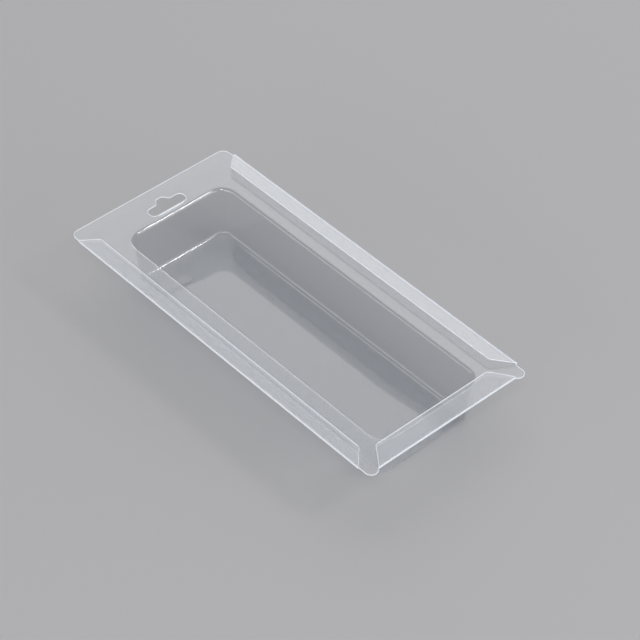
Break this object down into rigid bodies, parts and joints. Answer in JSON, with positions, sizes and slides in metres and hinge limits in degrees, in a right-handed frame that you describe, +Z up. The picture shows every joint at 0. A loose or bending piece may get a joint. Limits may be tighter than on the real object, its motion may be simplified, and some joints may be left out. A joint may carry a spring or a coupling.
{
  "type": "slide blister pack",
  "caption": "Clear thermoformed blister tray with a wide flange, flaps folded back along its edges to hold a sliding card, and a hang hole at the open end.",
  "frame": {"origin": "centre of the outline on the plane that the tray's floor stands on", "axes": "+Z up out of the tray's mouth, +Y along the pack towards the hang hole, +X across it towards the right flap"},
  "size_m": [0.1, 0.219, 0.0309],
  "materials": {
    "clear_film": "clear glossy thermoformed film with bright cut edges and rounded bends"
  },
  "bodies": {
    "root": {"blister_shell": "clear_film"}
  },
  "joints": []
}
